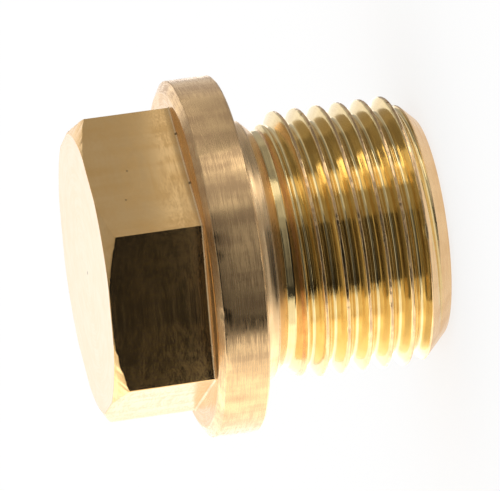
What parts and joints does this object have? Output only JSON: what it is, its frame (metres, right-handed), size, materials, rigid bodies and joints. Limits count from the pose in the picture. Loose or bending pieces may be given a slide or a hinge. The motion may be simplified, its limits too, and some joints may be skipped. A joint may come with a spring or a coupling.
{
  "type": "hex head pipe plug",
  "caption": "Brass screw plug with a hexagon head, a collar and a right-hand G 3/8 parallel pipe thread.",
  "frame": {"origin": "centre of the flat end face of the thread, which the plug stands on", "axes": "+Z along the thread's axis, from the thread end up to the hexagon head; two corners of the hexagon lie on the X axis"},
  "size_m": [0.022, 0.022, 0.0213],
  "materials": {
    "brass": "bare turned brass"
  },
  "bodies": {
    "root": {"plug_body": "brass"}
  },
  "joints": []
}
